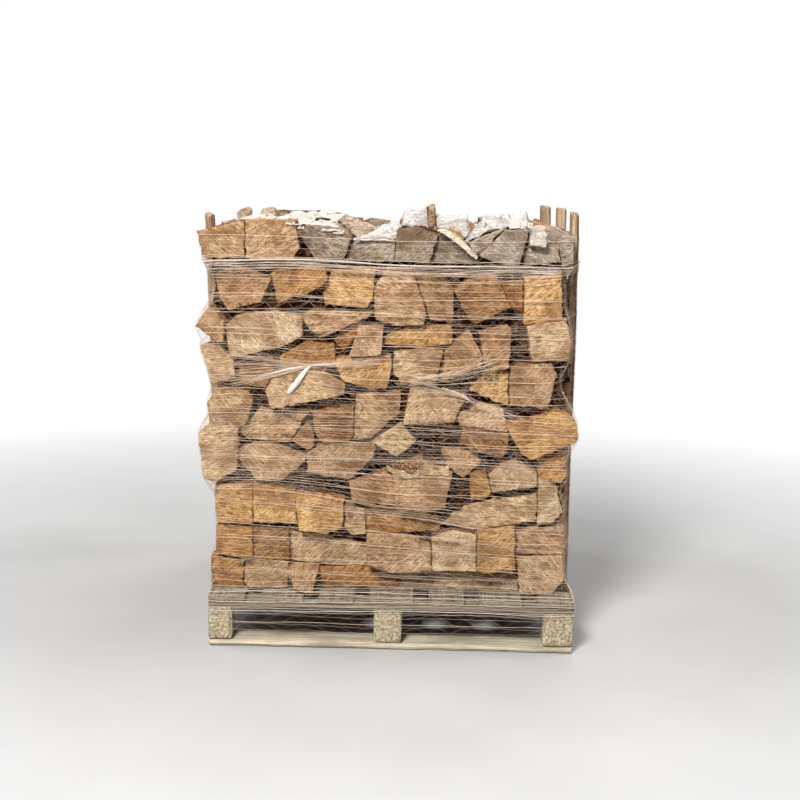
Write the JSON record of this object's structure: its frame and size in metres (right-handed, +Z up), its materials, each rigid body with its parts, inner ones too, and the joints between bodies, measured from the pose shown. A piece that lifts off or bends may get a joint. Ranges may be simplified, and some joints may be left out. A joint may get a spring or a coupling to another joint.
{
  "type": "netted pallet load of firewood",
  "caption": "Split firewood stacked in rows on a wooden block pallet, held by rough side stakes and wrapped in knitted pallet netting.",
  "frame": {"origin": "middle of the pallet's underside, on the middle bottom board", "axes": "+Z up, -Y the front with the log ends, +X to the right seen from the front, across the pallet's narrow way"},
  "size_m": [1.065, 1.21, 1.2044],
  "materials": {
    "pallet_wood": "sawn softwood, weathered",
    "block_wood": "sawn end grain, worn",
    "bottom_wood": "sawn softwood",
    "stake_wood": "rough slab with bark traces",
    "log_wood": "split hardwood, sawn ends",
    "weathered_wood": "split hardwood, greyed ends",
    "netting": "knitted polyethylene netting"
  },
  "bodies": {
    "root": {"bottom_board_front": "bottom_wood", "block_front_left": "block_wood", "block_front_centre": "block_wood", "block_front_right": "block_wood", "cross_board_front": "pallet_wood", "bottom_board_middle": "bottom_wood", "block_middle_left": "block_wood", "block_middle_centre": "block_wood", "block_middle_right": "block_wood", "cross_board_middle": "pallet_wood", "bottom_board_rear": "bottom_wood", "block_rear_left": "block_wood", "block_rear_centre": "block_wood", "block_rear_right": "block_wood", "cross_board_rear": "pallet_wood", "deck_board_1": "pallet_wood", "deck_board_2": "pallet_wood", "deck_board_3": "pallet_wood", "deck_board_4": "pallet_wood", "deck_board_5": "pallet_wood", "deck_board_6": "pallet_wood", "deck_board_7": "pallet_wood", "logs_front_course_1": "log_wood", "logs_front_course_2": "log_wood", "logs_front_course_3": "log_wood", "logs_front_course_4": "log_wood", "logs_front_course_5": "log_wood", "logs_front_course_6": "log_wood", "logs_front_course_7": "log_wood", "logs_front_course_8": "log_wood", "logs_front_course_9": "log_wood", "logs_front_course_10": "weathered_wood", "logs_middle_course_1": "log_wood", "logs_middle_course_2": "log_wood", "logs_middle_course_3": "log_wood", "logs_middle_course_4": "log_wood", "logs_middle_course_5": "log_wood", "logs_middle_course_6": "log_wood", "logs_middle_course_7": "log_wood", "logs_middle_course_8": "log_wood", "logs_middle_course_9": "log_wood", "logs_middle_course_10": "weathered_wood", "logs_rear_course_1": "log_wood", "logs_rear_course_2": "log_wood", "logs_rear_course_3": "log_wood", "logs_rear_course_4": "log_wood", "logs_rear_course_5": "log_wood", "logs_rear_course_6": "log_wood", "logs_rear_course_7": "log_wood", "logs_rear_course_8": "log_wood", "logs_rear_course_9": "log_wood", "logs_rear_course_10": "weathered_wood", "stake_left_front": "stake_wood", "stake_left_middle": "stake_wood", "stake_left_rear": "stake_wood", "stake_right_front": "stake_wood", "stake_right_middle": "stake_wood", "stake_right_rear": "stake_wood", "netting": "netting"}
  },
  "joints": []
}
